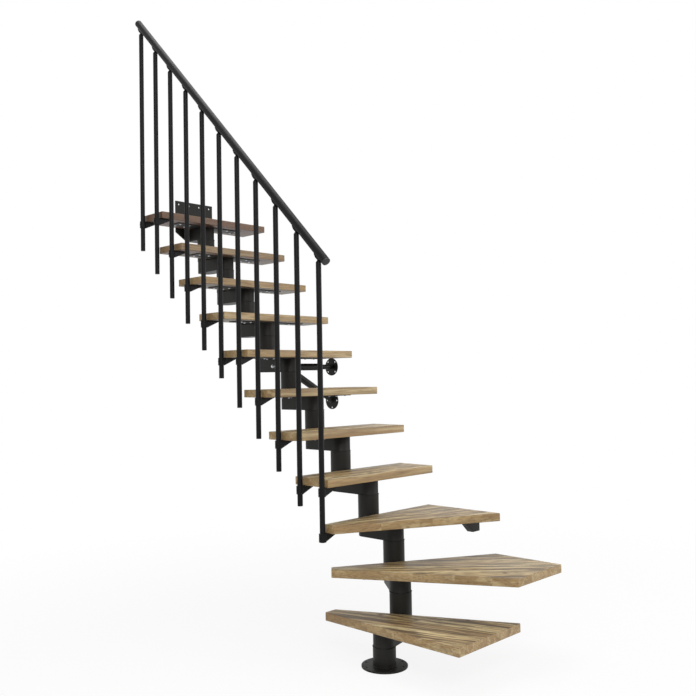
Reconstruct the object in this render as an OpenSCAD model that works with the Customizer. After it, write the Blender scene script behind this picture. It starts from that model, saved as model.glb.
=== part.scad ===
// Central stringer staircase: a quarter-turn flight of stacked steel modules under solid wood treads,
// with one railing on the left going up. Origin: centre of the base flange's underside, +Z up.
// The straight flight climbs along +Y, and the three turned treads at the bottom start along +X.

/* [Climb] */
// Height from one tread top to the next
riser = 202; // [190:1:230]
// Horizontal step of the straight flight
going = 187; // [175:1:240]
// Number of treads, turned ones included
tread_count = 11; // [11:1:11]

/* [Treads] */
// Length of a tread across the flight
tread_w = 750; // [650:10:900]
// Depth of a straight tread from front to back
tread_d = 220; // [200:5:290]
// Thickness of a tread
tread_t = 38; // [30:1:45]
// Front edge of a tread to the axis of the post under it
post_setback = 105; // [85:1:120]

/* [Turned treads] */
// Inner end of the first and third treads
winder_narrow = 66; // [50:1:90]
// Outer end of the first and third treads
winder_wide = 440; // [380:5:480]
// Edge of the turn square to the first tread's front and the third tread's back
turn_inset = 28; // [15:1:40]
// Inner end of the second tread
kite_narrow = 46; // [40:1:60]
// Outer edges of the second tread
kite_edge = 354; // [300:2:400]
// How far the second tread's corner stands out of the turn square
kite_out = 24; // [0:1:30]
// How far the second tread's inner end stands out along the diagonal
kite_in = 36; // [10:1:45]

/* [Stringer modules] */
// Outside diameter of a post
post_d = 101.6; // [80:0.1:120]
// Wall of a post
post_wall = 3; // [2:0.5:5]
// Width of the box arm
arm_w = 98; // [70:1:110]
// Height of the box arm
arm_h = 70; // [50:1:90]
// Plate thickness of the box arm
arm_plate = 5; // [3:0.5:8]
// Post to post length of the two lowest arms and the third
turn_arm = 160; // [150:1:180]
// Plan direction of the lowest arm, from +X
turn_angle_1 = 13; // [5:1:25]
// Plan direction of the second arm, from +X
turn_angle_2 = 51; // [45:1:60]
// Height of the spigot that the next post drops over
spigot_h = 40; // [25:1:60]
// Wall of the spigot
spigot_wall = 4; // [3:0.5:6]
// Gap all round between spigot and post
spigot_gap = 0.3; // [0.1:0.1:0.6]

/* [Base flange] */
// Diameter of the base flange
base_d = 204; // [180:1:240]
// Thickness of the base flange
base_t = 8; // [6:1:12]
// Bolt circle of the base flange
base_pcd = 172; // [150:1:200]
// Number of base bolt holes
base_holes = 8; // [4:1:8]
// Diameter of the base bolt holes
base_hole_d = 9; // [7:0.5:13]

/* [Tread plates] */
// Length of the plate under each tread
plate_l = 456; // [380:2:520]
// Width of the plate
plate_w = 90; // [70:1:95]
// Thickness of the plate
plate_t = 5; // [4:0.5:8]
// How far a turned tread's plate is set towards the wide end
winder_plate_shift = 55; // [30:1:80]
// Diameter of the screw holes in the plates
plate_hole_d = 6; // [5:0.5:8]

/* [Landing plate] */
// Width of the plate that bolts to the landing's edge
landing_w = 270; // [220:2:320]
// Top of the plate below the landing's floor
landing_drop = 72; // [50:1:100]
// Thickness of the landing plate
landing_t = 8; // [6:1:12]
// Width of the landing plate's foot
landing_foot_w = 112; // [104:2:140]
// Height of the sloped corners at the foot
landing_slope_h = 52; // [30:1:70]
// Gap between the top tread and the landing plate
landing_gap = 2; // [1:0.5:5]
// Diameter of the landing plate's holes
landing_hole_d = 11; // [8:0.5:14]
// Spacing of the landing plate's holes
landing_hole_step = 74; // [60:1:80]
// Holes to the plate's top edge
landing_hole_edge = 20; // [16:1:30]

/* [Railing] */
// Diameter of a baluster
baluster_d = 25; // [20:0.5:30]
// Wall of a baluster
baluster_wall = 2; // [1.5:0.5:3]
// Length of a baluster
baluster_l = 1256; // [1100:2:1350]
// How much less each baluster rises than the flight's pitch
rise_loss = 9.2; // [0:0.1:15]
// Number of balusters
baluster_count = 11; // [11:1:11]
// Baluster axis to the treads' end
baluster_off = 20; // [16:1:30]
// First baluster's axis behind the front edge of the fourth tread
first_baluster = 20; // [18:1:20]
// Last baluster's axis before the back edge of the top tread
last_baluster = 49; // [45:1:60]
// Diameter of the handrail
rail_d = 40; // [38:0.5:50]
// Wall of the handrail
rail_wall = 2.5; // [2:0.5:4]
// Axis of the first baluster to the handrail's low end, along the flight
rail_low = 47; // [30:1:80]
// Axis of the last baluster to the handrail's high end, along the flight
rail_high = 25; // [18:1:80]
// Top of a baluster tube to the handrail's axis
rail_lift = 50; // [46:1:70]
// Length of the handrail's end caps outside the tube
rail_cap_l = 7; // [4:0.5:12]
// Diameter of the neck between baluster and handrail
neck_d = 12; // [8:0.5:16]
// Height of the cone on a baluster's cap
cap_cone = 10; // [6:1:12]
// Width of the saddle under the handrail
saddle_w = 20; // [14:1:26]
// Thickness of the saddle at the neck
saddle_t = 6; // [4:0.5:8]
// Reach of the saddle uphill from the neck
saddle_l = 30; // [20:1:40]

/* [Baluster brackets] */
// Outside diameter of the bracket's sleeve
sleeve_d = 34; // [31:0.5:40]
// Height of the sleeve
sleeve_h = 38; // [28:1:50]
// Gap all round between sleeve and baluster
sleeve_gap = 0.3; // [0.1:0.1:0.6]
// Reach of the bracket under the tread, from the sleeve's axis
bracket_reach = 92; // [70:1:110]
// Thickness of the bracket's foot plate
bracket_t = 5; // [3:0.5:8]
// Width of the bracket's foot plate
bracket_w = 24; // [20:1:26]
// Thickness of the bracket's web
bracket_web = 12; // [6:1:20]

/* [Wall support] */
// Treads' right end to the wall
wall_gap = 12; // [8:1:30]
// Tread whose arm carries the wall support
wall_tread = 7; // [5:1:9]
// Post axis to the wall support's bar, along the flight
wall_bar_y = 71; // [45:1:90]
// Underside of the arm to the bar's axis
wall_bar_z = 27; // [24:1:40]
// Outside diameter of the bar's and the brace's sleeves
wall_tube_d = 39; // [34:0.5:44]
// Diameter of the sliding rods
wall_rod_d = 28; // [22:0.5:30]
// Gap all round between rod and sleeve
wall_rod_gap = 0.4; // [0.2:0.1:0.8]
// Side of the arm to the end of the bar's sleeve
wall_tube_l = 230; // [200:1:250]
// Horizontal reach of the brace's sleeve from the arm's side
brace_tube_l = 205; // [160:1:230]
// How far a rod runs on inside its sleeve
wall_rod_in = 60; // [40:1:80]
// Axis of the brace below the bar's axis, at the arm's side
brace_drop = 10; // [6:1:14]
// Angle of the brace below level
brace_angle = 29; // [24:0.5:34]
// Diameter of the two wall flanges
wall_flange_d = 100; // [90:1:120]
// Thickness of the wall flanges
wall_flange_t = 6; // [5:0.5:10]
// Bolt circle of the wall flanges
wall_pcd = 80; // [70:1:90]
// Diameter of the wall flanges' holes
wall_hole_d = 10; // [7:0.5:12]
// Thickness of the plate on the arm's side
wall_pad_t = 6; // [4:0.5:8]

/* [Winder wall bracket] */
// Position along the flight, before the front edge of the fourth tread
winder_bracket_y = 259; // [200:1:300]
// Length of the bracket under the third tread
winder_bracket_l = 112; // [80:1:130]
// Height of the bracket
winder_bracket_h = 62; // [45:1:70]
// Width of the bracket
winder_bracket_w = 34; // [25:1:45]
// Plate thickness of the bracket
winder_bracket_t = 5; // [4:0.5:8]

/* [Hidden] */
$fn = 64;

// Room that a cut runs past the face it opens
cut = 1;
// First tread of the straight flight
first_straight = 4;
steel_colour = [0.09, 0.09, 0.10];
cap_colour = [0.05, 0.05, 0.05];
wood_colour = [0.66, 0.52, 0.36];

// Unit step in plan at an angle from +X
function heading(a) = [cos(a), sin(a)];

// Post axes in plan: two turned arms, one short straight arm, then the going
post_2 = turn_arm * heading(turn_angle_1);
post_3 = post_2 + turn_arm * heading(turn_angle_2);
post_4 = post_3 + [0, turn_arm];
function post_xy(n) =
    n == 1 ? [0, 0] :
    n == 2 ? post_2 :
    n == 3 ? post_3 :
    post_4 + [0, (n - first_straight) * going];

// The straight flight's centre line, sides and front edges
flight_x = post_4[0];
left_x = flight_x - tread_w / 2;
right_x = flight_x + tread_w / 2;
function front_y(n) = post_xy(n)[1] - post_setback;

// Heights
function tread_top(n) = n * riser;
function tread_bottom(n) = tread_top(n) - tread_t;
function arm_top(n) = tread_bottom(n) - plate_t;
function arm_bottom(n) = arm_top(n) - arm_h;
function post_foot(n) = n == 1 ? base_t : arm_top(n - 1);

// The turn square: as wide as the treads both ways, its inner corner at [left_x, turn_y]
turn_y = front_y(first_straight) + tread_d - going + turn_inset;
turn_low_y = turn_y - tread_w;
third_back_y = turn_y - turn_inset;
first_front_x = left_x + turn_inset;

// A post's bore and the spigot in it
post_bore_d = post_d - 2 * post_wall;
spigot_d = post_bore_d - 2 * spigot_gap;
spigot_bore_d = spigot_d - 2 * spigot_wall;

// Landing plate
top_tread = tread_count;
landing_y = front_y(top_tread) + tread_d + landing_gap;
landing_top = tread_top(tread_count + 1) - landing_drop;
landing_foot_z = arm_bottom(top_tread);
landing_slope_z = landing_foot_z + landing_slope_h;

// Railing line
baluster_x = left_x - baluster_off;
first_bottom = tread_bottom(3) - sleeve_h;
flight_l = front_y(top_tread) + tread_d - front_y(first_straight);
baluster_step = (flight_l - first_baluster - last_baluster) / (baluster_count - 1);
baluster_rise = baluster_step * riser / going - rise_loss;
rail_angle = atan(baluster_rise / baluster_step);
function baluster_y(k) = front_y(first_straight) + first_baluster + (k - 1) * baluster_step;
function baluster_bottom(k) = first_bottom + (k - 1) * baluster_rise;
function rail_axis_z(y) =
    first_bottom + baluster_l + rail_lift + (y - baluster_y(1)) * baluster_rise / baluster_step;
rail_low_y = baluster_y(1) - rail_low;
rail_high_y = baluster_y(baluster_count) + rail_high;
rail_l = (rail_high_y - rail_low_y) / cos(rail_angle);

// Plugs and caps in the balusters and the handrail
plug_play = 0.2;
cap_rim = 2;
cap_plug_l = 16;
foot_plug_l = 14;
foot_plug_rim = 1.5;
rail_plug_l = 20;
rail_cap_edge = 2.5;

// Saddle's side outline along the rail, in the rail's frame: thick at the neck, running out uphill
rail_r = rail_d / 2;
neck_at = -rail_r * tan(rail_angle);
saddle_outline = [
    [neck_at - neck_d / 2, -rail_r - saddle_t], [neck_at + neck_d, -rail_r - saddle_t],
    [neck_at + saddle_l, -rail_r], [neck_at + saddle_l, -rail_r * 0.7],
    [neck_at - neck_d, -rail_r * 0.7], [neck_at - neck_d, -rail_r - saddle_t / 2]
];

// Wall support
wall_x = right_x + wall_gap;
wall_flange_x = wall_x - wall_flange_t;
arm_side_x = flight_x + arm_w / 2;
wall_pad_x = arm_side_x + wall_pad_t;
support_y = post_xy(wall_tread)[1] + wall_bar_y;
support_z = arm_bottom(wall_tread) + wall_bar_z;
brace_z = support_z - brace_drop;
function brace_axis_z(x) = brace_z - (x - arm_side_x) * tan(brace_angle);
wall_tube_bore = wall_rod_d + 2 * wall_rod_gap;

// ---- Shared shapes ----

// Box arm's outline in plan: straight sides with a half round at each post
module arm_outline(length, width) {
    circle(d = width);
    translate([length, 0]) circle(d = width);
    translate([0, -width / 2]) square([length, width]);
}

// Places children at post n, turned along its arm
module at_post(n) {
    a = post_xy(n);
    b = post_xy(n + 1);
    translate([a[0], a[1], 0]) rotate([0, 0, atan2(b[1] - a[1], b[0] - a[0])]) children();
}

// Rod or bore along +X from x0, in the plane of the wall support
module along_x(x0, z0, length, d) {
    translate([x0, support_y, z0]) rotate([0, 90, 0]) cylinder(d = d, h = length);
}

// Rod or bore along the brace, between two distances from the arm's side
module along_brace(x0, x1, d) {
    translate([arm_side_x, support_y, brace_z]) rotate([0, 90 + brace_angle, 0])
        translate([0, 0, (x0 - arm_side_x) / cos(brace_angle)])
            cylinder(d = d, h = (x1 - x0) / cos(brace_angle));
}

// Children placed on the handrail's axis above the baluster at y, with +X along the rail
module on_rail(y) {
    translate([baluster_x, y, rail_axis_z(y)]) rotate([0, 0, 90]) rotate([0, -rail_angle, 0]) children();
}

// ---- Stringer ----

module base_flange() {
    color(steel_colour) difference() {
        union() {
            cylinder(d = base_d, h = base_t, $fn = 128);
            translate([0, 0, base_t]) cylinder(d = spigot_d, h = spigot_h);
        }
        translate([0, 0, base_t]) cylinder(d = spigot_bore_d, h = spigot_h + cut);
        for (i = [0 : base_holes - 1]) rotate([0, 0, (i + 0.5) * 360 / base_holes])
            translate([base_pcd / 2, 0, -cut]) cylinder(d = base_hole_d, h = base_t + 2 * cut, $fn = 32);
    }
}

// One module: a post, the box arm on its head, and the spigot for the next post
module stringer_module(n) {
    last = n == top_tread;
    a = post_xy(n);
    length = last ? landing_y - a[1] : norm(post_xy(n + 1) - a);
    foot = post_foot(n);
    top = arm_top(n);
    bottom = arm_bottom(n);
    color(steel_colour) at_post(n) difference() {
        union() {
            translate([0, 0, foot]) cylinder(d = post_d, h = bottom - foot);
            translate([0, 0, bottom]) linear_extrude(arm_h) {
                if (last) {
                    circle(d = arm_w);
                    translate([0, -arm_w / 2]) square([length, arm_w]);
                } else {
                    arm_outline(length, arm_w);
                }
            }
            if (!last) translate([length, 0, top]) cylinder(d = spigot_d, h = spigot_h);
        }
        translate([0, 0, foot - cut]) cylinder(d = post_bore_d, h = bottom - foot + arm_plate + cut);
        translate([0, 0, bottom + arm_plate]) linear_extrude(arm_h - 2 * arm_plate) {
            if (last) {
                circle(d = arm_w - 2 * arm_plate);
                translate([0, arm_plate - arm_w / 2])
                    square([length + cut, arm_w - 2 * arm_plate]);
            } else {
                arm_outline(length, arm_w - 2 * arm_plate);
            }
        }
        if (!last) translate([length, 0, top - arm_plate - cut])
            cylinder(d = spigot_bore_d, h = arm_plate + spigot_h + 2 * cut);
    }
}

module landing_plate() {
    half = landing_w / 2;
    foot = landing_foot_w / 2;
    color(steel_colour) difference() {
        translate([flight_x, landing_y + landing_t, 0]) rotate([90, 0, 0])
            linear_extrude(landing_t) polygon([
                [-foot, landing_foot_z], [foot, landing_foot_z],
                [half, landing_slope_z], [half, landing_top],
                [-half, landing_top], [-half, landing_slope_z]
            ]);
        for (i = [-1.5 : 1 : 1.5])
            translate([flight_x + i * landing_hole_step, landing_y - cut, landing_top - landing_hole_edge])
                rotate([-90, 0, 0]) cylinder(d = landing_hole_d, h = landing_t + 2 * cut, $fn = 32);
    }
}

// ---- Treads ----

// Corners of the third tread, from its inner front corner
function third_outline() = [
    [left_x, third_back_y - winder_narrow], [right_x, third_back_y - winder_wide],
    [right_x, third_back_y], [left_x, third_back_y]
];

// A point mirrored over the turn's diagonal
function over_diagonal(p) = [right_x - (p[1] - turn_low_y), turn_low_y + (right_x - p[0])];

// The second tread: a kite about the diagonal
kite_corner = [right_x + kite_out, turn_low_y - kite_out];
kite_inner = [left_x + kite_in, turn_y - kite_in];
kite_half = kite_narrow / 2 * [cos(45), sin(45)];
function kite_outline() = [
    kite_inner - kite_half, kite_corner - [kite_edge, 0],
    kite_corner, kite_corner + [0, kite_edge], kite_inner + kite_half
];

function tread_outline(n) =
    n == 1 ? [for (p = third_outline()) over_diagonal(p)] :
    n == 2 ? kite_outline() :
    n == 3 ? third_outline() :
    [[left_x, front_y(n)], [right_x, front_y(n)],
     [right_x, front_y(n) + tread_d], [left_x, front_y(n) + tread_d]];

module tread(n) {
    color(wood_colour) translate([0, 0, tread_bottom(n)]) linear_extrude(tread_t)
        polygon(tread_outline(n));
}

// Middle of a turned tread's inner end and a point far out on its middle line
function mid(a, b) = (a + b) / 2;
third_line = [mid(third_outline()[0], third_outline()[3]), mid(third_outline()[1], third_outline()[2])];
function tread_line(n) =
    n == 1 ? [for (p = third_line) over_diagonal(p)] :
    n == 2 ? [kite_inner, kite_corner] :
    third_line;

// The steel plate between arm and tread, with the screw holes into the tread
module tread_plate(n) {
    straight = n >= first_straight;
    line = tread_line(n);
    run = (line[1] - line[0]) / norm(line[1] - line[0]);
    centre = straight ? post_xy(n)
        : line[0] + ((post_xy(n) - line[0]) * run + winder_plate_shift) * run;
    turn = straight ? 0 : atan2(run[1], run[0]);
    translate([centre[0], centre[1], arm_top(n)]) rotate([0, 0, turn]) difference() {
        translate([-plate_l / 2, -plate_w / 2, 0]) cube([plate_l, plate_w, plate_t]);
        for (sx = [-1, 1], sy = [-1, 1], part = [0.3, 0.44])
            translate([sx * part * plate_l, sy * 0.3 * plate_w, -cut])
                cylinder(d = plate_hole_d, h = plate_t + 2 * cut, $fn = 16);
    }
}

module tread_plates() {
    color(steel_colour) for (n = [1 : tread_count]) tread_plate(n);
}

// ---- Wall support ----

module wall_bracket() {
    pad_w = wall_tube_d + 20;
    tube_end = arm_side_x + wall_tube_l;
    brace_end = arm_side_x + brace_tube_l;
    brace_clear = arm_side_x + brace_tube_l - wall_rod_in - 2 * wall_tube_d / 3;
    color(steel_colour) difference() {
        union() {
            translate([arm_side_x, support_y - pad_w / 2, arm_bottom(wall_tread)])
                cube([wall_pad_t, pad_w, arm_h - plate_t]);
            along_x(wall_pad_x, support_z, tube_end - wall_pad_x, wall_tube_d);
            intersection() {
                along_brace(arm_side_x, brace_end, wall_tube_d);
                translate([wall_pad_x, support_y - wall_tube_d, support_z - tread_w / 2])
                    cube([tread_w / 2, 2 * wall_tube_d, tread_w / 2]);
            }
        }
        along_x(tube_end - wall_rod_in - wall_rod_d, support_z, wall_rod_in + wall_rod_d + cut, wall_tube_bore);
        along_brace(brace_clear, brace_end + cut, wall_tube_bore);
    }
}

// Round flange on the wall with the holes turned by a given angle
module wall_flange(z, turn) {
    translate([wall_flange_x, support_y, z]) rotate([0, 90, 0]) difference() {
        cylinder(d = wall_flange_d, h = wall_flange_t, $fn = 96);
        for (i = [0 : 3]) rotate([0, 0, turn + i * 90])
            translate([wall_pcd / 2, 0, -cut]) cylinder(d = wall_hole_d, h = wall_flange_t + 2 * cut, $fn = 32);
    }
}

module wall_foot_upper() {
    rod_x = arm_side_x + wall_tube_l - wall_rod_in;
    color(steel_colour) union() {
        wall_flange(support_z, 45);
        along_x(rod_x, support_z, wall_flange_x - rod_x, wall_rod_d);
    }
}

module wall_foot_lower() {
    rod_x = arm_side_x + brace_tube_l - wall_rod_in;
    color(steel_colour) union() {
        wall_flange(brace_axis_z(wall_flange_x), 0);
        intersection() {
            along_brace(rod_x, wall_x + wall_rod_d, wall_rod_d);
            translate([rod_x - wall_rod_d, support_y - wall_rod_d, 0])
                cube([wall_flange_x - rod_x + wall_rod_d, 2 * wall_rod_d, support_z]);
        }
    }
}

// Angle bracket with a web, under the outer end of the third tread
module winder_wall_bracket() {
    y = front_y(first_straight) - winder_bracket_y;
    top = tread_bottom(3);
    t = winder_bracket_t;
    color(steel_colour) translate([wall_x, y - winder_bracket_w / 2, top]) {
        translate([-winder_bracket_l, 0, -t]) cube([winder_bracket_l, winder_bracket_w, t]);
        translate([-t, 0, -winder_bracket_h]) cube([t, winder_bracket_w, winder_bracket_h]);
        translate([0, winder_bracket_w, 0]) rotate([90, 0, 0]) linear_extrude(winder_bracket_w)
            polygon([[-t, -t], [-winder_bracket_l, -t], [-winder_bracket_l, -2 * t],
                     [-winder_bracket_l / 2, -winder_bracket_h], [-t, -winder_bracket_h]]);
    }
}

// ---- Railing ----

// Bracket under a tread's left end: foot plate, web and the sleeve round the baluster
module baluster_bracket(n, y) {
    top = tread_bottom(n);
    color(steel_colour) translate([baluster_x, y, top]) difference() {
        union() {
            translate([0, 0, -sleeve_h]) cylinder(d = sleeve_d, h = sleeve_h);
            translate([0, -bracket_w / 2, -bracket_t]) cube([bracket_reach, bracket_w, bracket_t]);
            translate([0, bracket_web / 2, 0]) rotate([90, 0, 0]) linear_extrude(bracket_web)
                polygon([[0, 0], [0, -sleeve_h], [sleeve_d / 2, -sleeve_h], [bracket_reach, -bracket_t]]);
        }
        translate([0, 0, -sleeve_h - cut])
            cylinder(d = baluster_d + 2 * sleeve_gap, h = sleeve_h + 2 * cut);
    }
}

// The tread or treads that hold baluster k
function holder(k) = [for (n = [3 : tread_count])
    if (baluster_y(k) - bracket_w / 2 >= (n == 3 ? third_back_y - winder_narrow : front_y(n)) &&
        baluster_y(k) + bracket_w / 2 <= front_y(n) + tread_d &&
        (n > 3 || k == 1)) n];

module baluster_brackets() {
    for (k = [1 : baluster_count]) {
        if (k == 1) baluster_bracket(3, baluster_y(1));
        baluster_bracket(max(holder(k)), baluster_y(k));
    }
}

module baluster(k) {
    color(steel_colour) translate([baluster_x, baluster_y(k), baluster_bottom(k)]) difference() {
        cylinder(d = baluster_d, h = baluster_l);
        translate([0, 0, -cut]) cylinder(d = baluster_d - 2 * baluster_wall, h = baluster_l + 2 * cut);
    }
}

// Plug in the foot of each baluster
module baluster_plugs() {
    color(cap_colour) for (k = [1 : baluster_count])
        translate([baluster_x, baluster_y(k), baluster_bottom(k)]) {
            cylinder(d = baluster_d - 2 * baluster_wall - plug_play, h = foot_plug_l);
            translate([0, 0, -foot_plug_rim]) cylinder(d = baluster_d - 1, h = foot_plug_rim);
        }
}

// Cap, neck and saddle between a baluster and the handrail
module rail_fittings() {
    for (k = [1 : baluster_count]) {
        y = baluster_y(k);
        top = baluster_bottom(k) + baluster_l;
        color(steel_colour) difference() {
            union() {
                translate([baluster_x, y, top - cap_plug_l])
                    cylinder(d = baluster_d - 2 * baluster_wall - plug_play, h = cap_plug_l);
                translate([baluster_x, y, top]) cylinder(d = baluster_d, h = cap_rim);
                translate([baluster_x, y, top + cap_rim]) cylinder(d1 = baluster_d, d2 = neck_d, h = cap_cone);
                translate([baluster_x, y, top]) cylinder(d = neck_d, h = rail_lift);
                on_rail(y) translate([0, saddle_w / 2, 0]) rotate([90, 0, 0])
                    linear_extrude(saddle_w) polygon(saddle_outline);
            }
            on_rail(y) translate([-2 * rail_d, 0, 0]) rotate([0, 90, 0])
                cylinder(d = rail_d, h = 4 * rail_d);
        }
    }
}

module handrail() {
    color(steel_colour) on_rail(rail_low_y) rotate([0, 90, 0]) difference() {
        cylinder(d = rail_d, h = rail_l);
        translate([0, 0, -cut]) cylinder(d = rail_d - 2 * rail_wall, h = rail_l + 2 * cut);
    }
}

// Rounded cap with a plug, for either end of the handrail
module rail_cap() {
    edge = rail_cap_edge;
    color(cap_colour) union() {
        translate([0, 0, -rail_plug_l])
            cylinder(d = rail_d - 2 * rail_wall - 2 * plug_play, h = rail_plug_l);
        rotate_extrude() {
            square([rail_r, rail_cap_l - edge]);
            square([rail_r - edge, rail_cap_l]);
            translate([rail_r - edge, rail_cap_l - edge]) circle(r = edge);
        }
    }
}

module rail_end_caps() {
    on_rail(rail_low_y) rotate([0, -90, 0]) rail_cap();
    on_rail(rail_high_y) rotate([0, 90, 0]) rail_cap();
}

base_flange();
stringer_module(1);  // module_01
stringer_module(2);  // module_02
stringer_module(3);  // module_03
stringer_module(4);  // module_04
stringer_module(5);  // module_05
stringer_module(6);  // module_06
stringer_module(7);  // module_07
stringer_module(8);  // module_08
stringer_module(9);  // module_09
stringer_module(10);  // module_10
stringer_module(11);  // module_11
landing_plate();
tread_plates();
tread(1);  // tread_01
tread(2);  // tread_02
tread(3);  // tread_03
tread(4);  // tread_04
tread(5);  // tread_05
tread(6);  // tread_06
tread(7);  // tread_07
tread(8);  // tread_08
tread(9);  // tread_09
tread(10);  // tread_10
tread(11);  // tread_11
wall_bracket();
wall_foot_upper();
wall_foot_lower();
winder_wall_bracket();
baluster_brackets();
baluster(1);  // baluster_01
baluster(2);  // baluster_02
baluster(3);  // baluster_03
baluster(4);  // baluster_04
baluster(5);  // baluster_05
baluster(6);  // baluster_06
baluster(7);  // baluster_07
baluster(8);  // baluster_08
baluster(9);  // baluster_09
baluster(10);  // baluster_10
baluster(11);  // baluster_11
baluster_plugs();
rail_fittings();
handrail();
rail_end_caps();
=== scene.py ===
# %% [markdown]
# # A central stringer staircase in Blender
#
# The real object is a quarter-turn stair: welded steel modules are stacked into a spine, a solid wood
# tread sits on each, and a railing of thin tubes hangs on brackets at the treads' left ends. The steel
# is construction and comes in from CAD at its true size. This lesson gives each surface its finish, and
# adds what is too small for CAD: eased edges, weld beads, screws and the staves of the wood.

# %% Load the frame
import math

import bmesh
import bpy
import numpy as np
from mathutils import Matrix, Vector


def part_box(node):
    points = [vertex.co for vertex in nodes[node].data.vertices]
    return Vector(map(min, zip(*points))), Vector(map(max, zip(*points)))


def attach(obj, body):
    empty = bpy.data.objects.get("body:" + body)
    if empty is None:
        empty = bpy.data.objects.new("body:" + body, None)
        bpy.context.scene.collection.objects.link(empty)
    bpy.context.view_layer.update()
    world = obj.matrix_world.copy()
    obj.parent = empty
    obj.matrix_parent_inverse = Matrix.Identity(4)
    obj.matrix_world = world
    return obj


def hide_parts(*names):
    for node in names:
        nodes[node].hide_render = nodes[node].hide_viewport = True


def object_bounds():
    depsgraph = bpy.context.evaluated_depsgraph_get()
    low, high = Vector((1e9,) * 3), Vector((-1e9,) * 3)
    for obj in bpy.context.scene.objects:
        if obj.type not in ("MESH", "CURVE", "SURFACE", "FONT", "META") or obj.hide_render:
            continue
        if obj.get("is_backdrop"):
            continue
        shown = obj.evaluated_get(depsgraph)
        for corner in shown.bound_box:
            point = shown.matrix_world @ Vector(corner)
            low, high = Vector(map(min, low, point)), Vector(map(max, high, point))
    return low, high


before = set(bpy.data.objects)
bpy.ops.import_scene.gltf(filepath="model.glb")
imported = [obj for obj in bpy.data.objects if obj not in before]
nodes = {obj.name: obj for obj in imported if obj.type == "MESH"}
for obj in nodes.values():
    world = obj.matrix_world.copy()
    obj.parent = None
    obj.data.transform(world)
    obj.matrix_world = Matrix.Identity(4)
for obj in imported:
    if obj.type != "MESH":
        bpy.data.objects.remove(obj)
cad_low, cad_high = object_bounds()
scene = bpy.context.scene
MM = 0.001
SAME = 0.1 * MM  # two places closer than this are the same place
STEPS = 11


def numbered(name):
    """Names of the nodes that there is one of for each step."""
    return [f"{name}_{n:02d}" for n in range(1, STEPS + 1)]


TREADS = numbered("tread")
MODULES = numbered("module")
BALUSTERS = numbered("baluster")
print("CAD nodes:", len(nodes), "box", [round(b - a, 3) for a, b in zip(cad_low, cad_high)])

# %% [markdown]
# ## Camera
#
# A stair is tall and narrow, so it is seen from standing height and some metres away, in front of its
# left side. A camera could be aimed with a Track To constraint, but a heading, a pitch and a small roll
# say exactly the same in three numbers, and they stay readable. The small shift sets the optical axis
# a little off the middle of the frame, as a cropped picture has it.

# %% Camera
CAMERA_AT = Vector((-2.7105, -2.4492, 1.2665))
CAMERA_HEADING = 0.7917  # from +Y towards +X, in radians
CAMERA_PITCH = 0.0284
CAMERA_ROLL = -0.0161
FOCAL_LENGTH = 1.18563  # in widths of the picture
AXIS_SHIFT = (0.0076, 0.0085)  # of the optical axis, in widths of the picture
SENSOR_MM = 36.0


def camera_axes(heading, pitch, roll):
    """Right, up and backward axes: the heading is raised by the pitch, and the picture turns by the roll."""
    flat = math.cos(pitch)
    forward = Vector((math.sin(heading) * flat, math.cos(heading) * flat, math.sin(pitch)))
    level = Vector((math.cos(heading), -math.sin(heading), 0.0))
    rise = level.cross(forward)
    right = math.cos(roll) * level + math.sin(roll) * rise
    up = math.cos(roll) * rise - math.sin(roll) * level
    return right, up, -forward


camera_data = bpy.data.cameras.new("camera")
camera_data.sensor_width = SENSOR_MM
camera_data.lens = FOCAL_LENGTH * SENSOR_MM
camera_data.shift_x, camera_data.shift_y = AXIS_SHIFT
camera = bpy.data.objects.new("camera", camera_data)
camera.matrix_world = (
    Matrix.Translation(CAMERA_AT)
    @ Matrix(camera_axes(CAMERA_HEADING, CAMERA_PITCH, CAMERA_ROLL)).transposed().to_4x4()
)
scene.collection.objects.link(camera)
scene.camera = camera
print("camera lens", round(camera_data.lens, 2), "mm")

# %% [markdown]
# ## Colours and node helper
#
# Colours are written as the sRGB hex values that a paint card would give. Blender's shaders add light,
# so they want linear numbers: one function turns the one into the other. Another adds a shader node
# with its settings and its links, which keeps each material as short as its recipe. The rest are the
# few nodes that every recipe uses.

# %% Helpers for materials
def srgb(hex_colour):
    """Linear colour of an sRGB hex value: each channel is undone by the sRGB curve."""
    channels = [int(hex_colour[i:i + 2], 16) / 255 for i in (1, 3, 5)]
    return [c / 12.92 if c <= 0.04045 else ((c + 0.055) / 1.055) ** 2.4 for c in channels] + [1.0]


def add(tree, kind, inputs=None, **settings):
    """Adds a node: settings are its properties, and each input is a value or another node's socket."""
    node = tree.nodes.new(kind)
    for name, value in settings.items():
        setattr(node, name, value)
    for name, value in (inputs or {}).items():
        if isinstance(value, bpy.types.NodeSocket):
            tree.links.new(value, node.inputs[name])
        else:
            node.inputs[name].default_value = value
    return node


def ramp(tree, factor, stops):
    """Colour ramp over a factor, with (place, hex colour) stops."""
    node = add(tree, "ShaderNodeValToRGB", {"Fac": factor})
    elements = node.color_ramp.elements
    while len(elements) < len(stops):
        elements.new(0.5)
    for element, (place, colour) in zip(elements, stops):
        element.position = place
        element.color = srgb(colour)
    return node.outputs["Color"]


def span(tree, value, low, high, to_low=0.0, to_high=1.0):
    """Value mapped from low..high to to_low..to_high, smoothly and without going past them."""
    return add(
        tree, "ShaderNodeMapRange",
        {"Value": value, "From Min": low, "From Max": high, "To Min": to_low, "To Max": to_high},
        interpolation_type="SMOOTHSTEP",
    ).outputs["Result"]


def blend_colours(tree, factor, a, b):
    """Mix of two colours by a factor."""
    node = add(tree, "ShaderNodeMix", {0: factor, 6: a, 7: b}, data_type="RGBA")
    return node.outputs[2]


def maths(tree, operation, a, b=0.0):
    """One arithmetic node."""
    return add(tree, "ShaderNodeMath", {0: a, 1: b}, operation=operation).outputs[0]


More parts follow.
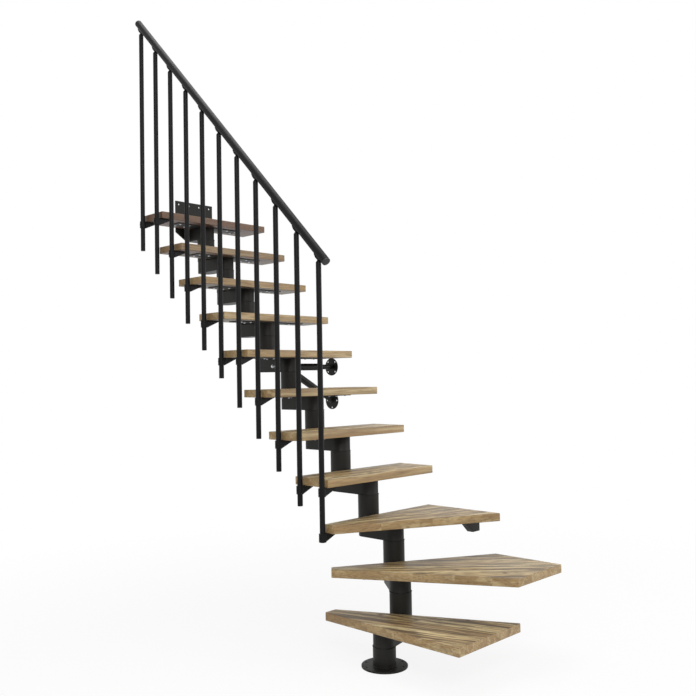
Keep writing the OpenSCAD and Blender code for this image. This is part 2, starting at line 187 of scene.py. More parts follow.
def noise(tree, place, width, detail):
    """Noise whose patches are about this wide, in metres."""
    inputs = {"Vector": place, "Scale": 1 / width, "Detail": detail}
    return add(tree, "ShaderNodeTexNoise", inputs).outputs["Fac"]


def own_place(tree):
    """The object's own coordinates, in metres."""
    return add(tree, "ShaderNodeTexCoord").outputs["Object"]


def bumped(tree, shader, height, strength, distance):
    """Bump on a shader from a height."""
    bump = add(tree, "ShaderNodeBump", {"Height": height, "Strength": strength, "Distance": distance})
    tree.links.new(bump.outputs["Normal"], shader.inputs["Normal"])


def empty_material(name):
    """Material without nodes; returns it and its tree."""
    material = bpy.data.materials.new(name)
    material.use_nodes = True
    material.node_tree.nodes.clear()
    return material, material.node_tree


def new_material(name):
    """Material with a Principled shader on its output; returns the material, its tree and the shader."""
    material, tree = empty_material(name)
    shader = add(tree, "ShaderNodeBsdfPrincipled")
    add(tree, "ShaderNodeOutputMaterial", {"Surface": shader.outputs["BSDF"]})
    return material, tree, shader


print("paint #808080 in linear light:", round(srgb("#808080")[0], 3))

# %% [markdown]
# ## Powder coat
#
# The steel is sprayed with dry polyester powder and baked, which gives an even satin film. To the eye
# it is a very dark, slightly warm grey with broad soft highlights and a faint orange peel. A fine noise
# drives the bump. Real peel is 1 to 2 mm wide, too fine to show from across a room, so it is drawn
# 4 mm wide. A wide noise moves the roughness and the tone a little, because a sprayed film is never
# quite even, and a third one scatters specks of dust.

# %% Powder coat
CLOUD = 1 / 9  # metres between thicker and thinner patches of the film
PEEL = 4 * MM
PEEL_DEPTH = 0.06 * MM
DUST = 2 * MM
DUST_COLOUR = "#3a3a3a"


def powder_coat(name, dark, light, roughness, gloss, peel_strength):
    """Satin polyester powder on steel: two near tones by a wide noise, dust, and orange peel as bump."""
    material, tree, shader = new_material(name)
    place = own_place(tree)
    cloud = noise(tree, place, CLOUD, 4.0)
    specks = span(tree, noise(tree, place, DUST, 1.0), 0.62, 0.8, 0.0, 0.12)
    film = ramp(tree, cloud, [(0.35, dark), (0.65, light)])
    tree.links.new(blend_colours(tree, specks, film, srgb(DUST_COLOUR)), shader.inputs["Base Color"])
    uneven = span(tree, cloud, 0.3, 0.7, roughness - 0.04, roughness + 0.05)
    tree.links.new(uneven, shader.inputs["Roughness"])
    bumped(tree, shader, noise(tree, place, PEEL, 2.0), peel_strength, PEEL_DEPTH)
    shader.inputs["IOR"].default_value = 1.5
    shader.inputs["Specular IOR Level"].default_value = gloss
    return material


stringer_paint = powder_coat(
    "stringer_powder_coat", "#151411", "#1c1b17", roughness=0.50, gloss=0.24, peel_strength=0.12,
)
railing_paint = powder_coat(
    "railing_powder_coat", "#0d0d0d", "#141415", roughness=0.44, gloss=0.14, peel_strength=0.04,
)
print("powder coats:", stringer_paint.name, railing_paint.name)

# %% [markdown]
# ## Moulded plastic and zinc
#
# The caps in the tubes' ends are black polyethylene, moulded with a fine spark texture. Screws and
# bolts are steel with a thin zinc plating, a metal that mirrors softly and has a mottled sheen.

# %% Plastic and zinc
SPARK = 0.6 * MM  # width of the mould's texture
SPARK_DEPTH = 0.05 * MM
CRYSTAL = 2.5 * MM  # width of a patch of zinc


def moulded_plastic():
    """Black moulded polyethylene: two near tones and a bump by a spark-eroded grain."""
    material, tree, shader = new_material("moulded_polyethylene")
    grain = noise(tree, own_place(tree), SPARK, 3.0)
    tree.links.new(ramp(tree, grain, [(0.3, "#171718"), (0.7, "#202021")]), shader.inputs["Base Color"])
    tree.links.new(span(tree, grain, 0.3, 0.7, 0.40, 0.52), shader.inputs["Roughness"])
    bumped(tree, shader, grain, 0.3, SPARK_DEPTH)
    return material


def zinc_plate():
    """Zinc-plated steel: a metal with crystal patches that differ a little in tone and gloss."""
    material, tree, shader = new_material("zinc_plated_steel")
    cells = add(tree, "ShaderNodeTexVoronoi", {"Vector": own_place(tree), "Scale": 1 / CRYSTAL})
    patch = cells.outputs["Distance"]
    tree.links.new(ramp(tree, patch, [(0.1, "#b4b8bc"), (0.8, "#d8dadb")]), shader.inputs["Base Color"])
    tree.links.new(span(tree, patch, 0.1, 0.9, 0.24, 0.4), shader.inputs["Roughness"])
    shader.inputs["Metallic"].default_value = 1.0
    return material


cap_plastic = moulded_plastic()
zinc = zinc_plate()
print("small parts:", cap_plastic.name, zinc.name)

# %% [markdown]
# ## Edge-glued hardwood
#
# A solid tread is glued up from long staves, each from another plank, so tone and grain change at every
# glue line. An image of wood would repeat and would not match on the edges. Here each tread carries its
# own grain coordinates as an attribute: along the grain, across it, and up through the thickness, so
# the figure runs on over the edges as it does in real wood. Growth rings are circles about a pith
# beside each stave, cut by the surface, and stretched noises add streaks, sapwood and pores. A few
# knots are the cells of a Voronoi pattern, and the stave's number picks its tone.
# The sides, the underside and the eased rounds of each tread also get painted shade: darker tones laid on by
# the way a face turns.

# %% Wood
STAVE = 44 * MM  # width of one stave
RING = 5.2 * MM  # between growth rings, a little wide so that they show
RING_WANDER = 9 * RING  # how far a noise bends the rings
TREAD_STAVES = ["#8a7248", "#bb9f6e", "#a88c5f", "#cdb382", "#a3855a", "#c1a370"]
WOOD = {  # what is laid over a stave's own tone: wood figure, a darker lot, and painted shade on the sides, the underside and the eased rounds
    "sapwood": "#e2cf9f", "heartwood": "#5e4b2e", "late_wood": "#57432a", "streak": "#4f3d27",
    # painted shade: the side tone below, and the underside and eased-round tones after it, darken faces that
    # get less light
    "pore": "#4f3d29", "knot_halo": "#7a5f3a", "knot_eye": "#3f2f1e", "side": "#8f7148",
    "underside": "#575253", "smoked": "#5d3f2e", "eased_edge_shade": "#6a543a",
}
FIGURE = {  # the noises: length along the grain and width across it, in metres
    "wander": (0.45, 0.05), "sapwood": (0.9, 0.03), "heartwood": (0.5, 0.022),
    "streak": (0.12, 0.005), "pore": (0.02, 0.0009),
}
STAVE_SHIFT = (7, 5, 3)  # metres that a stave's figure may be moved along, across and up
KNOTS = 4.5  # cells of the knots' pattern in a metre
KNOT_LANE = 3.7  # metres between one tread and the next in the knots' pattern
RELIEF = 0.15 * MM


def stretched(tree, place, name, **inputs):
    """Noise drawn out along the grain, to the length and width that FIGURE gives."""
    along, across = FIGURE[name]
    scaled = add(
        tree, "ShaderNodeVectorMath",
        {0: place, 1: (1 / along, 1 / across, 1 / across)}, operation="MULTIPLY",
    ).outputs[0]
    return add(tree, "ShaderNodeTexNoise", {"Vector": scaled, "Scale": 1.0, **inputs}).outputs["Fac"]


def growth_rings(tree, across, up, luck, wander):
    """Sine of the distance to a pith that lies within a stave's width of the stave, bent by a noise."""
    share = maths(tree, "SUBTRACT", maths(tree, "FRACT", maths(tree, "DIVIDE", across, STAVE)), 0.5)
    aside = maths(tree, "MULTIPLY", maths(tree, "SUBTRACT", luck.outputs[1], 0.5), 2 * STAVE)
    pith_across = maths(tree, "ADD", maths(tree, "MULTIPLY", share, STAVE), aside)
    below = maths(tree, "MULTIPLY", luck.outputs[2], 2 * STAVE)
    pith_up = maths(tree, "ADD", maths(tree, "FRACT", up), below)
    pith = add(tree, "ShaderNodeCombineXYZ", {"X": pith_across, "Y": pith_up}).outputs[0]
    radius = add(tree, "ShaderNodeVectorMath", {0: pith}, operation="LENGTH").outputs["Value"]
    bent = maths(tree, "ADD", radius, maths(tree, "MULTIPLY", wander, RING_WANDER))
    return maths(tree, "SINE", maths(tree, "DIVIDE", bent, RING / (2 * math.pi)))


def glued_hardwood():
    """Staves by the whole number of STAVE across; rings, streaks, pores and knots inside each; painted shade
    on the sides, the underside and the eased rounds.
    """
    material, tree, shader = new_material("edge_glued_hardwood")
    grain = add(tree, "ShaderNodeAttribute", attribute_name="grain").outputs["Vector"]
    smoked = add(tree, "ShaderNodeAttribute", attribute_name="smoked").outputs["Fac"]
    edge = add(tree, "ShaderNodeAttribute", attribute_name="eased").outputs["Fac"]
    axes = add(tree, "ShaderNodeSeparateXYZ", {"Vector": grain})
    along, across, up = axes.outputs[0], axes.outputs[1], axes.outputs[2]
    stave = maths(tree, "FLOOR", maths(tree, "DIVIDE", across, STAVE))
    board = maths(tree, "FLOOR", up)
    lot = add(tree, "ShaderNodeCombineXYZ", {"X": stave, "Y": board}).outputs[0]
    chance = add(tree, "ShaderNodeTexWhiteNoise", {"Vector": lot}, noise_dimensions="2D").outputs["Color"]
    luck = add(tree, "ShaderNodeSeparateColor", {"Color": chance})
    shift = add(tree, "ShaderNodeVectorMath", {0: chance, 1: STAVE_SHIFT}, operation="MULTIPLY").outputs[0]
    place = add(tree, "ShaderNodeVectorMath", {0: grain, 1: shift}, operation="ADD").outputs[0]
    normal = add(tree, "ShaderNodeTexCoord").outputs["Normal"]
    facing = add(tree, "ShaderNodeSeparateXYZ", {"Vector": normal}).outputs[2]
    on_top = span(tree, facing, 0.4, 0.9, 0.35, 1.0)

    ring = growth_rings(tree, across, up, luck, stretched(tree, place, "wander", Detail=3.0))
    sap = stretched(tree, place, "sapwood", Detail=2.0, Distortion=0.4)
    heart = stretched(tree, place, "heartwood", Detail=4.0, Distortion=0.8)
    streak = stretched(tree, place, "streak", Detail=3.0)
    pore = stretched(tree, place, "pore", Detail=1.0)

    lane = maths(tree, "ADD", across, maths(tree, "MULTIPLY", board, KNOT_LANE))
    spots = add(tree, "ShaderNodeCombineXYZ", {"X": along, "Y": lane}).outputs[0]
    knots = add(tree, "ShaderNodeTexVoronoi", {"Vector": spots, "Scale": KNOTS}, voronoi_dimensions="2D")
    rare = add(tree, "ShaderNodeSeparateColor", {"Color": knots.outputs["Color"]}).outputs[0]
    here = maths(tree, "MULTIPLY", on_top, span(tree, rare, 0.58, 0.62))
    away = knots.outputs["Distance"]

    last = len(TREAD_STAVES) - 1
    tone = ramp(tree, luck.outputs[0], [(i / last, colour) for i, colour in enumerate(TREAD_STAVES)])
    covers = {
        "sapwood": span(tree, sap, 0.5, 0.62, 0.0, 0.85),
        "heartwood": maths(tree, "MULTIPLY", on_top, span(tree, heart, 0.5, 0.57)),
        "late_wood": maths(tree, "MULTIPLY", on_top, span(tree, ring, -0.2, 1.0, 0.0, 0.5)),
        "streak": span(tree, streak, 0.48, 0.66, 0.0, 0.62),
        "pore": span(tree, pore, 0.62, 0.74, 0.0, 0.35),
        "knot_halo": maths(tree, "MULTIPLY", here, span(tree, away, 0.04, 0.13, 0.55, 0.0)),
        "knot_eye": maths(tree, "MULTIPLY", here, span(tree, away, 0.025, 0.06, 0.9, 0.0)),
        # painted shade: faces that turn away from the top are darkened, as the top lamp reaches them less
        "side": span(tree, facing, 0.9, 0.4, 0.0, 0.5),
        # painted shade: faces that look down get a dim grey-lilac tone, as of light bounced up from the floor
        "underside": span(tree, facing, -0.5, -0.9, 0.0, 0.7),
        "smoked": smoked,
        # painted shade: a darker line along the middle of each eased round
        "eased_edge_shade": span(tree, edge, 0.1, 0.9, 0.0, 0.45),
    }
    for name, cover in covers.items():
        tone = blend_colours(tree, cover, tone, srgb(WOOD[name]))
    tree.links.new(tone, shader.inputs["Base Color"])

    tree.links.new(span(tree, streak, 0.3, 0.75, 0.44, 0.58), shader.inputs["Roughness"])
    height = maths(tree, "SUBTRACT", maths(tree, "MULTIPLY", ring, 0.2), maths(tree, "ADD", pore, streak))
    bumped(tree, shader, height, 0.35, RELIEF)
    shader.inputs["Coat Weight"].default_value = 0.12
    shader.inputs["Coat Roughness"].default_value = 0.35
    return material


tread_wood = glued_hardwood()
print("wood nodes:", len(tread_wood.node_tree.nodes))

# %% [markdown]
# ## From arrays to a piece
#
# Every new piece is a set of points and faces worked out as arrays. One function turns them into a
# Blender mesh, and another gives it its material and lets it ride on the stair's only body. Many small
# shapes are joined into one mesh, which is how dozens of screws stay light. Screws and bolts are turned
# like on a lathe, and weld beads and bent wire are tubes along a path.

# %% Mesh helpers
def finished(mesh, name, material, sharp=40.0):
    """Object from a mesh: smooth faces with sharp edges past an angle, a material, a body and a slot."""
    mesh.polygons.foreach_set("use_smooth", np.ones(len(mesh.polygons), bool))
    mesh.set_sharp_from_angle(angle=math.radians(sharp))
    mesh.materials.clear()
    mesh.materials.append(material)
    piece = bpy.data.objects.new(name, mesh)
    scene.collection.objects.link(piece)
    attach(piece, "root")
    return piece


def mesh_from(name, points, faces):
    """Mesh from an array of points and a list of faces."""
    mesh = bpy.data.meshes.new(name)
    mesh.from_pydata(points.tolist(), [], [list(map(int, f)) for f in faces])
    mesh.update()
    return mesh


def node_points(node):
    """Points of a CAD node as an array."""
    return np.array([v.co for v in nodes[node].data.vertices])


def joined(shapes):
    """Points and faces of many shapes in one, each one's face numbers moved past the points before it."""
    starts = np.cumsum([0] + [len(points) for points, _ in shapes])
    faces = [tuple(np.asarray(f) + start) for (_, part), start in zip(shapes, starts) for f in part]
    return np.concatenate([points for points, _ in shapes]), faces


def ring_faces(rings, sides, closed=False):
    """Quads between rings of points, each with its next neighbour and with the ring above. An open
    stack gets a flat face at each end, and in a closed one the last ring joins the first."""
    row, column = np.meshgrid(np.arange(rings if closed else rings - 1), np.arange(sides), indexing="ij")
    beside = (column + 1) % sides
    above = (row + 1) % rings * sides
    row = row * sides
    quads = np.stack([row + column, row + beside, above + beside, above + column], -1).reshape(-1, 4).tolist()
    if closed:
        return quads
    return quads + [list(range(sides))[::-1], list(range((rings - 1) * sides, rings * sides))]


def directions_round(axis, sides):
    """Unit vectors square to an axis, evenly round it, and the axis itself as a unit vector."""
    axis = Vector(axis).normalized()
    side = np.array(axis.orthogonal().normalized())
    other = np.array(axis.cross(Vector(side)))
    turn = np.linspace(0, 2 * np.pi, sides, endpoint=False)
    return np.cos(turn)[:, None] * side + np.sin(turn)[:, None] * other, np.array(axis)


def lathe(profile, centre, axis=(0, 0, 1), sides=24):
    """A profile of (radius, height) turned round an axis at a centre, with a flat face at each end."""
    profile = np.asarray(profile, float)
    around, axis = directions_round(axis, sides)
    points = profile[:, None, :1] * around[None] + profile[:, None, 1:] * axis
    return points.reshape(-1, 3) + np.asarray(centre, float), ring_faces(len(profile), sides)


def tube(path, outward, across, radius, sides, closed=False):
    """Circles along a path, where outward and across are the two directions of each circle's plane:
    point = path + radius * (cos(turn) * outward + sin(turn) * across)."""
    turn = np.linspace(0, 2 * np.pi, sides, endpoint=False)
    circle = np.cos(turn)[:, None] * outward[:, None] + np.sin(turn)[:, None] * across
    points = path[:, None] + np.reshape(radius, (-1, 1, 1)) * circle
    return points.reshape(-1, 3), [f[::-1] for f in ring_faces(len(path), sides, closed)]


print("mesh helpers ready")

# %% [markdown]
# ## Treads with eased edges
#
# A joiner runs a small round along every edge of a tread and breaks its corners, because a sharp edge
# splinters. A Bevel modifier on the CAD slab would do it, but then the grain attribute would have to
# be made after it. So each tread is built as rings: its outline, pulled in by a quarter circle at the
# top and at the bottom. The outline itself comes from the CAD node's top face.

# %% Treads
TREAD_EASE = 2.6 * MM
TREAD_CORNER = 3.2 * MM
ARC_STEPS = 5
CORNER_STEPS = 6
GRAIN_START = 100 * STAVE  # keeps the distance across the grain above zero
SMOKED = {9: 0.1, 10: 0.5, 11: 0.9}  # treads from a darker, redder lot, and how far they go to it


def plan_outline(node):
    """Corners of an upright convex slab: the points of its top face, put in order round their middle."""
    points = node_points(node)
    top = points[points[:, 2] > points[:, 2].max() - SAME]
    corners = np.unique(top[:, :2].round(5), axis=0)
    out = corners - corners.mean(0)
    return corners[np.argsort(np.arctan2(out[:, 1], out[:, 0]))]


def inset_corners(corners, distance):
    """Convex outline with each edge moved inwards: a corner slides along the sum of its edges' normals."""
    edge = np.roll(corners, -1, 0) - corners
    edge /= np.linalg.norm(edge, axis=1, keepdims=True)
    normal = np.stack([-edge[:, 1], edge[:, 0]], 1)
    before = np.roll(normal, 1, 0)
    return corners + distance * (normal + before) / (1 + (normal * before).sum(1))[:, None]


def rounded_corners(corners, radius):
    """Convex outline with an arc in place of each corner, from one edge's normal to the next one's."""
    edge = np.roll(corners, -1, 0) - corners
    leaving = np.arctan2(-edge[:, 0], edge[:, 1])
    arriving = np.roll(leaving, 1)
    turn = (leaving - arriving) % (2 * np.pi)
    angle = arriving[:, None] + turn[:, None] * np.linspace(0, 1, CORNER_STEPS)
    centre = inset_corners(corners, radius)
    return (centre[:, None] + radius * np.stack([np.cos(angle), np.sin(angle)], -1)).reshape(-1, 2)


def eased_slab(corners, low, high, ease, corner):
    """Slab with rounded corners and a quarter round along its upper and lower edge. Returns its points,
    its faces and how far each point is eased: the sine of twice the angle along the quarter round."""
    swing = np.linspace(0, np.pi / 2, ARC_STEPS)
    inset = np.concatenate([ease * (1 - np.sin(swing)), ease * (1 - np.cos(swing))])
    height = np.concatenate([low + ease * (1 - np.cos(swing)), high - ease * (1 - np.sin(swing))])
    eased = np.tile(np.sin(2 * swing), 2)
    rings = [rounded_corners(inset_corners(corners, d), corner - d) for d in inset]
    sides = len(rings[0])
    points = np.concatenate([np.column_stack([r, np.full(sides, z)]) for r, z in zip(rings, height)])
    return points, ring_faces(len(rings), sides), np.repeat(eased, sides)


def grain_direction(corners):
    """Unit vector along a tread: the direction in which its corners spread the most."""
    out = corners - corners.mean(0)
    return np.linalg.svd(out)[2][0]


for number, node in enumerate(TREADS, 1):
    corners = plan_outline(node)
    low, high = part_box(node)
    points, faces, eased = eased_slab(corners, low.z, high.z, TREAD_EASE, TREAD_CORNER)
    mesh = mesh_from(f"{node}_solid_wood", points, faces)
    direction = grain_direction(corners)
    normal = np.array([-direction[1], direction[0]])
    start = corners.mean(0)
    local = np.column_stack([
        (points[:, :2] - start) @ direction,
        (points[:, :2] - start) @ normal + GRAIN_START,
        points[:, 2] - low.z + number + 0.5,  # its whole number tells the treads apart
    ])
    mesh.attributes.new("grain", "FLOAT_VECTOR", "POINT").data.foreach_set("vector", local.ravel())
    # the eased share also places the painted shade along the rounds
    mesh.attributes.new("eased", "FLOAT", "POINT").data.foreach_set("value", eased)
    smoked = np.full(len(points), SMOKED.get(number, 0.0))
    mesh.attributes.new("smoked", "FLOAT", "POINT").data.foreach_set("value", smoked)
    tread = finished(mesh, f"{node}_solid_wood", tread_wood, sharp=60.0)
    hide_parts(node)
print("treads:", len(TREADS), "with", len(points), "points each")

# %% [markdown]
# ## Broken edges on the steel
#
# Cut and welded steel is ground before it is coated, and the film rounds each edge further, so no edge
# of the real stair is razor sharp. A bright thin line along an edge is what tells the eye that it is
# painted steel. Each CAD node is copied, its loose triangles are merged, flat faces become one face
# again, and a Bevel modifier of about a millimetre rounds every edge that turns by more than 40
# degrees. The fittings under the handrail are blends of round forms that meet in slivers, where a bevel
# would fold over itself, so their width is 0 and they have none.

# %% Steel pieces
BEVEL_ANGLE = 40  # degrees
FLAT_ANGLE = 0.3
MERGE = 0.01 * MM
STEEL = {  # width of the bevel in mm, as in the next two
    "base_flange": 1.2, "landing_plate": 1.2, "tread_plates": 0.8, "wall_bracket": 1.5,
    "wall_foot_upper": 1.2, "wall_foot_lower": 1.2, "winder_wall_bracket": 1.2,
    **{node: 0.8 for node in MODULES},
}
RAILING_STEEL = {
    "baluster_brackets": 0.9, "rail_fittings": 0.0, "handrail": 0.8,
    **{node: 0.7 for node in BALUSTERS},
}
PLASTIC = {"rail_end_caps": 0.8, "baluster_plugs": 0.5}


def eased_copy(node, width, material):
    """Copy of a CAD node with merged points and whole flat faces, and with a bevel if it has a width."""
    mesh = nodes[node].data.copy()
    edit = bmesh.new()
    edit.from_mesh(mesh)
    bmesh.ops.remove_doubles(edit, verts=edit.verts, dist=MERGE)
    flat = math.radians(FLAT_ANGLE)
    bmesh.ops.dissolve_limit(edit, angle_limit=flat, verts=edit.verts, edges=edit.edges)
    edit.to_mesh(mesh)
    edit.free()
    piece = finished(mesh, f"{node}_coated", material)
    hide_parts(node)
    if width:
        bevel = piece.modifiers.new("broken_edge", "BEVEL")
        bevel.width = width * MM
        bevel.segments = 2
        bevel.limit_method = "ANGLE"
        bevel.angle_limit = math.radians(BEVEL_ANGLE)
        bevel.use_clamp_overlap = False
        bevel.harden_normals = True


for node, width in STEEL.items():
    eased_copy(node, width, stringer_paint)
for node, width in RAILING_STEEL.items():
    eased_copy(node, width, railing_paint)
for node, width in PLASTIC.items():
    eased_copy(node, width, cap_plastic)
print("eased pieces:", len(STEEL) + len(RAILING_STEEL) + len(PLASTIC))

# %% [markdown]
# ## A finish on every CAD node
#
# The CAD nodes stay in the frame under the eased copies. Each gets the same finish as its copy, so a
# node that is ever shown again looks right.

# %% Finishes on CAD nodes
finishes = [
    (TREADS, tread_wood), (STEEL, stringer_paint), (RAILING_STEEL, railing_paint), (PLASTIC, cap_plastic),
]
for names, material in finishes:
    for node in names:
        nodes[node].data.materials.clear()
        nodes[node].data.materials.append(material)
print("finished nodes:", sum(len(names) for names, _ in finishes), "of", len(nodes))

# %% [markdown]
# ## Weld beads
#
# Each post is welded to the underside of its box arm, and the landing plate to the end of the last arm.
# A weld is a row of overlapping puddles, so its bead swells and shrinks at every pass. It could be a
# bump, but it also shows in outline, so it is a real small ring whose thickness follows a sine.

# %% Welds
ARM_HEIGHT = 70 * MM
ARM_WIDTH = 98 * MM
POST_RADIUS = 50.8 * MM
BEAD = 1.6 * MM
POST_BEAD = {"points": 128, "passes": 32, "ripple": 0.1, "sides": 10}
LANDING_BEAD = {"points": 24, "passes": 30, "ripple": 0.14, "sides": 8}  # points on each of four edges
UP = np.array([0.0, 0.0, 1.0])
ALONG_STAIR = np.array([0.0, 1.0, 0.0])


def swelling(passes, ripple, count):
    """Thickness of a bead at each of its points: BEAD * (1 + ripple * sin of the torch's passes)."""
    return BEAD * (1 + ripple * np.sin(np.linspace(0, passes * 2 * np.pi, count, endpoint=False)))


def welded_ring(centre):
    """Weld bead round a post: a tube along a level circle."""
    outward, up = directions_round(UP, POST_BEAD["points"])
    swell = swelling(POST_BEAD["passes"], POST_BEAD["ripple"], POST_BEAD["points"])
    path = np.asarray(centre) + POST_RADIUS * outward
    return tube(path, outward, up, swell, POST_BEAD["sides"], closed=True)


def upright_bead(path):
    """Weld bead along a closed path in the plane square to ALONG_STAIR, with circles square to the path."""
    ahead = np.roll(path, -1, 0) - np.roll(path, 1, 0)
    ahead /= np.linalg.norm(ahead, axis=1, keepdims=True)
    swell = swelling(LANDING_BEAD["passes"], LANDING_BEAD["ripple"], len(path))
    return tube(path, np.cross(ahead, ALONG_STAIR), ALONG_STAIR, swell, LANDING_BEAD["sides"], closed=True)


def post_axis(node):
    """Middle of a module's foot: the centre of the ring of its lowest points."""
    points = node_points(node)
    foot = points[points[:, 2] < points[:, 2].min() + SAME]
    return (foot.min(0) + foot.max(0)) / 2


feet = [post_axis(node) for node in MODULES]
arm_tops = [foot[2] for foot in feet[1:]] + [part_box("module_11")[1].z]
welds = [welded_ring((foot[0], foot[1], top - ARM_HEIGHT)) for foot, top in zip(feet, arm_tops)]
welds.append(welded_ring((0, 0, feet[0][2])))
finished(mesh_from("post_welds", *joined(welds)), "post_welds", stringer_paint)

landing_low, landing_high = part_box("landing_plate")
middle_x = (landing_low.x + landing_high.x) / 2
half_arm = ARM_WIDTH / 2
left, right = middle_x - half_arm, middle_x + half_arm
bottom, top = arm_tops[-1] - ARM_HEIGHT + BEAD, arm_tops[-1]
weld_corners = np.array([[left, bottom], [right, bottom], [right, top], [left, top]])
shares = np.linspace(0, 1, LANDING_BEAD["points"], endpoint=False)[:, None]
loop = np.concatenate([a + (b - a) * shares for a, b in zip(weld_corners, np.roll(weld_corners, -1, 0))])
path = np.column_stack([loop[:, 0], np.full(len(loop), landing_low.y), loop[:, 1]])
finished(mesh_from("landing_weld", *upright_bead(path)), "landing_weld", stringer_paint)
print("weld rings:", len(welds), "arm tops from", round(arm_tops[0], 3), "to", round(arm_tops[-1], 3))

# %% [markdown]
# ## Screws under the treads
#
# Eight pan-head screws hold each tread to its plate from below, through the plate's holes. A head is a
# lathe job: a flat bearing face, a short wall and a crown with a round recess. The places come from the
# CAD plates themselves: each plate's four corners give its middle and its two directions.

# %% Tread screws
PLATE_LONG = 456 * MM
PLATE_WIDE = 90 * MM
PLATE_SLACK = 2 * MM
FARTHEST = 0.995  # of the greatest distance from the middle: only corners lie beyond it
SCREW_ALONG = (0.3, 0.44)  # shares of the plate's length, as the holes are placed
SCREW_ACROSS = 0.3
HEAD = [  # radius and height of the head's outline, in mm, from the plate down
    (5.6, 0.0), (5.6, 1.2), (5.1, 2.3), (3.9, 3.2), (2.3, 3.5), (2.0, 3.4), (1.9, 1.4), (0.2, 1.3),
]


def plate_frames():
    """For each tread plate its middle, its long and wide directions and the level of its underside."""
    points = node_points("tread_plates")
    frames = []
    for level in np.unique(points[:, 2].round(4)):
        if min(abs(level - top) for top in arm_tops) > SAME:
            continue
        layer = points[abs(points[:, 2] - level) < SAME][:, :2]
        middle = (layer.max(0) + layer.min(0)) / 2
        distance = np.linalg.norm(layer - middle, axis=1)
        corners = np.unique(layer[distance > distance.max() * FARTHEST].round(4), axis=0)
        sides = sorted(corners[1:] - corners[0], key=np.linalg.norm)
        short = next(side for side in sides if abs(np.linalg.norm(side) - PLATE_WIDE) < PLATE_SLACK)
        wide = short / np.linalg.norm(short)
        frames.append((middle, np.array([wide[1], -wide[0]]), wide, level))
    return frames


def screw_places(middle, long, wide, level):
    """The eight holes of a plate: at each end, two along each edge."""
    for end in (-1, 1):
        for edge in (-1, 1):
            for share in SCREW_ALONG:
                across = edge * SCREW_ACROSS * PLATE_WIDE * wide
                yield (*(middle + end * share * PLATE_LONG * long + across), level)


plates = plate_frames()
head = np.array(HEAD) * MM
screws = [lathe(head, place, axis=-UP, sides=20) for plate in plates for place in screw_places(*plate)]
finished(mesh_from("tread_screws", *joined(screws)), "tread_screws", zinc)
print("plates:", len(plates), "screws:", len(screws))

# %% [markdown]
# ## Clamp screws and the adjusting bolt
#
# Each bracket's sleeve clamps its baluster with a small socket screw, and a plated bolt on the left of
# the arm that carries the wall support sets its height. Both are turned shapes again. The bolt has a
# washer, a hexagon head, which is a lathe job with six sides, and a short hooked spring clip.

# %% Small bolts
SLEEVE_RADIUS = 17 * MM
SLEEVE_HEIGHT = 38 * MM
WALL_ARM = MODULES.index("module_07")  # the module that carries the wall support
BOLT_AHEAD = 86 * MM
BOLT_BELOW = 39 * MM
SOCKET = [(3.6, -0.5), (3.6, 2.2), (3.2, 2.6), (2.0, 2.6), (2.0, 0.9), (0.2, 0.9)]  # as HEAD, in mm
WASHER = [(9.0, 0.0), (9.0, 1.4), (8.6, 1.7), (0.2, 1.7)]
HEXAGON = [(7.2, 1.6), (7.5, 2.0), (7.5, 6.6), (6.4, 7.4), (0.2, 7.4)]
CLIP_AT = np.array([3, 17, 4]) * MM  # from the clip's middle to the bolt
CLIP_RADIUS = 6 * MM
CLIP_WIRE = 1.6 * MM
CLIP_TURN = np.linspace(-0.2, 1.3, 28) * np.pi
LEFT = (-1, 0, 0)


def clamp_places():
    """A place on the left of each sleeve round a baluster, half way up. A sleeve starts at each height
    that has other points of the brackets SLEEVE_HEIGHT above it."""
    brackets = node_points("baluster_brackets")
    for node in BALUSTERS:
        low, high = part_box(node)
        middle = (low + high) / 2
        near = np.linalg.norm(brackets[:, :2] - middle[:2], axis=1) < SLEEVE_RADIUS + SAME
        heights = brackets[near][:, 2]
        for foot in np.unique(heights.round(4)):
            if abs(heights - foot - SLEEVE_HEIGHT).min() < SAME:
                yield middle.x - SLEEVE_RADIUS, middle.y, foot + SLEEVE_HEIGHT / 2


def spring_clip(middle):
    """Wire bent through three quarters of a circle in the plane square to x, with a flat face at each end."""
    outward = np.column_stack([np.zeros(len(CLIP_TURN)), np.cos(CLIP_TURN), np.sin(CLIP_TURN)])
    return tube(middle + CLIP_RADIUS * outward, outward, np.array([1.0, 0.0, 0.0]), CLIP_WIRE, sides=8)


socket = np.array(SOCKET) * MM
clamp_screws = [lathe(socket, place, axis=LEFT, sides=16) for place in clamp_places()]
finished(mesh_from("clamp_screws", *joined(clamp_screws)), "clamp_screws", railing_paint)

wall_foot = feet[WALL_ARM]
bolt_at = np.array([wall_foot[0] - half_arm, wall_foot[1] + BOLT_AHEAD, arm_tops[WALL_ARM] - BOLT_BELOW])
bolt = [
    lathe(np.array(WASHER) * MM, bolt_at, axis=LEFT, sides=28),
    lathe(np.array(HEXAGON) * MM, bolt_at, axis=LEFT, sides=6),
    spring_clip(bolt_at - CLIP_AT),
]
finished(mesh_from("adjusting_bolt", *joined(bolt)), "adjusting_bolt", zinc, sharp=25.0)
print("clamp screws:", len(clamp_screws), "bolt at", bolt_at.round(3))

# %% [markdown]
# ## Floor, backdrop and light
#
# A product picture stands on white paper under large soft lamps. The lamps light the stair at a plain
# level. The paper is white to the camera by its own colour: near the stair it is mostly paint, which
# keeps the shadow, and farther out it turns into the plain white of the world behind it.

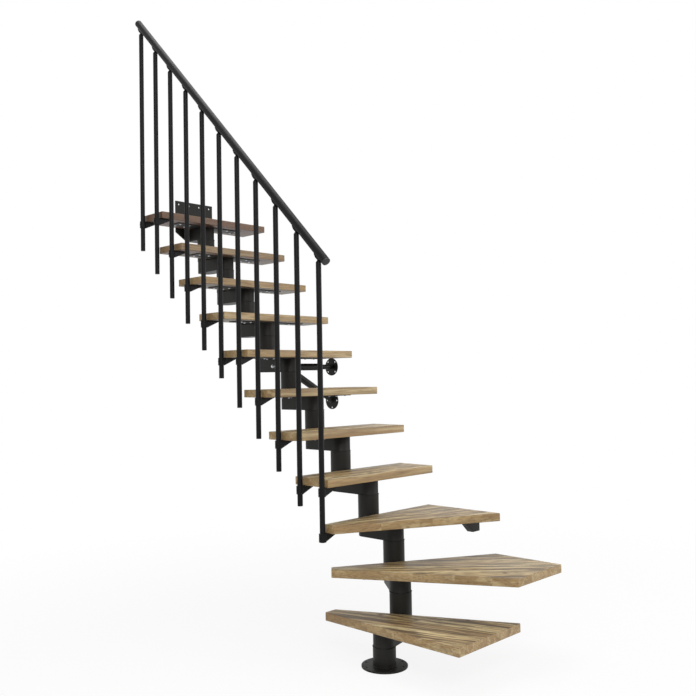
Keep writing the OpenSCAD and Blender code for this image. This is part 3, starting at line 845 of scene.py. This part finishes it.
# %% Stage
FLOOR_HALF = 14.0
PAPER_COLOUR = "#f4f4f4"
PAPER_FADE = (1.2, 4.0)  # metres from the stair where the paper starts and ends to turn white
PAPER_WHITE = 0.88  # share of plain white in it near the stair
SKY_STRENGTH = 0.38
WHITE = (1, 1, 1, 1)
LAMPS = {  # place, power in watts and width
    "key": ((-3.2, -3.6, 4.2), 150.0, 2.4),
    "fill": ((3.4, -3.0, 2.2), 60.0, 2.4),
    "top": ((0.4, 1.0, 5.6), 105.0, 3.0),
}


def seen_rays(tree):
    """1 for camera, glossy and transmission rays, and 0 for the rays that light the stair."""
    path = add(tree, "ShaderNodeLightPath").outputs
    mirror = maths(tree, "MAXIMUM", path["Is Glossy Ray"], path["Is Transmission Ray"])
    return maths(tree, "MAXIMUM", path["Is Camera Ray"], mirror)


def paper():
    """Floor paper: white paint near the stair, fading into plain white for the rays that see it."""
    material, tree = empty_material("white_paper")
    distance = add(tree, "ShaderNodeVectorMath", {0: own_place(tree)}, operation="LENGTH").outputs["Value"]
    fade = maths(tree, "MULTIPLY", span(tree, distance, *PAPER_FADE, PAPER_WHITE, 1.0), seen_rays(tree))
    paint = add(tree, "ShaderNodeBsdfDiffuse", {"Color": srgb(PAPER_COLOUR)})
    white = add(tree, "ShaderNodeEmission", {"Color": WHITE, "Strength": 1.0})
    mixed = add(tree, "ShaderNodeMixShader", {0: fade, 1: paint.outputs[0], 2: white.outputs[0]})
    add(tree, "ShaderNodeOutputMaterial", {"Surface": mixed.outputs[0]})
    return material


def soft_lamp(name, place, power, width, target):
    """Square softbox at a place, aimed at a target."""
    data = bpy.data.lights.new(name, "AREA")
    data.energy = power
    data.size = width
    lamp = bpy.data.objects.new(name, data)
    aim = (Vector(target) - Vector(place)).to_track_quat("-Z", "Y")
    lamp.matrix_world = Matrix.Translation(Vector(place)) @ aim.to_matrix().to_4x4()
    scene.collection.objects.link(lamp)


corners = np.array([[-1, -1, 0], [1, -1, 0], [1, 1, 0], [-1, 1, 0]]) * FLOOR_HALF
floor_mesh = mesh_from("floor", corners, [[0, 1, 2, 3]])
floor_mesh.materials.append(paper())
floor = bpy.data.objects.new("floor", floor_mesh)
scene.collection.objects.link(floor)
floor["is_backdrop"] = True

world = bpy.data.worlds.new("studio")
scene.world = world
world.use_nodes = True
world_tree = world.node_tree
world_tree.nodes.clear()
strength = span(world_tree, seen_rays(world_tree), 0.0, 1.0, SKY_STRENGTH, 1.0)
sky = add(world_tree, "ShaderNodeBackground", {"Color": WHITE, "Strength": strength})
add(world_tree, "ShaderNodeOutputWorld", {"Surface": sky.outputs[0]})

for name, (place, power, width) in LAMPS.items():
    soft_lamp(name, place, power, width, target=(cad_low + cad_high) / 2)
scene.view_settings.view_transform = "Standard"

# %% [markdown]
# ## Size of the finished model
#
# Last, the size of the finished model is printed, to be set beside the CAD size printed at the start.

# %% Finish
low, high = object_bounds()
print("visual box", [round(b - a, 3) for a, b in zip(low, high)])
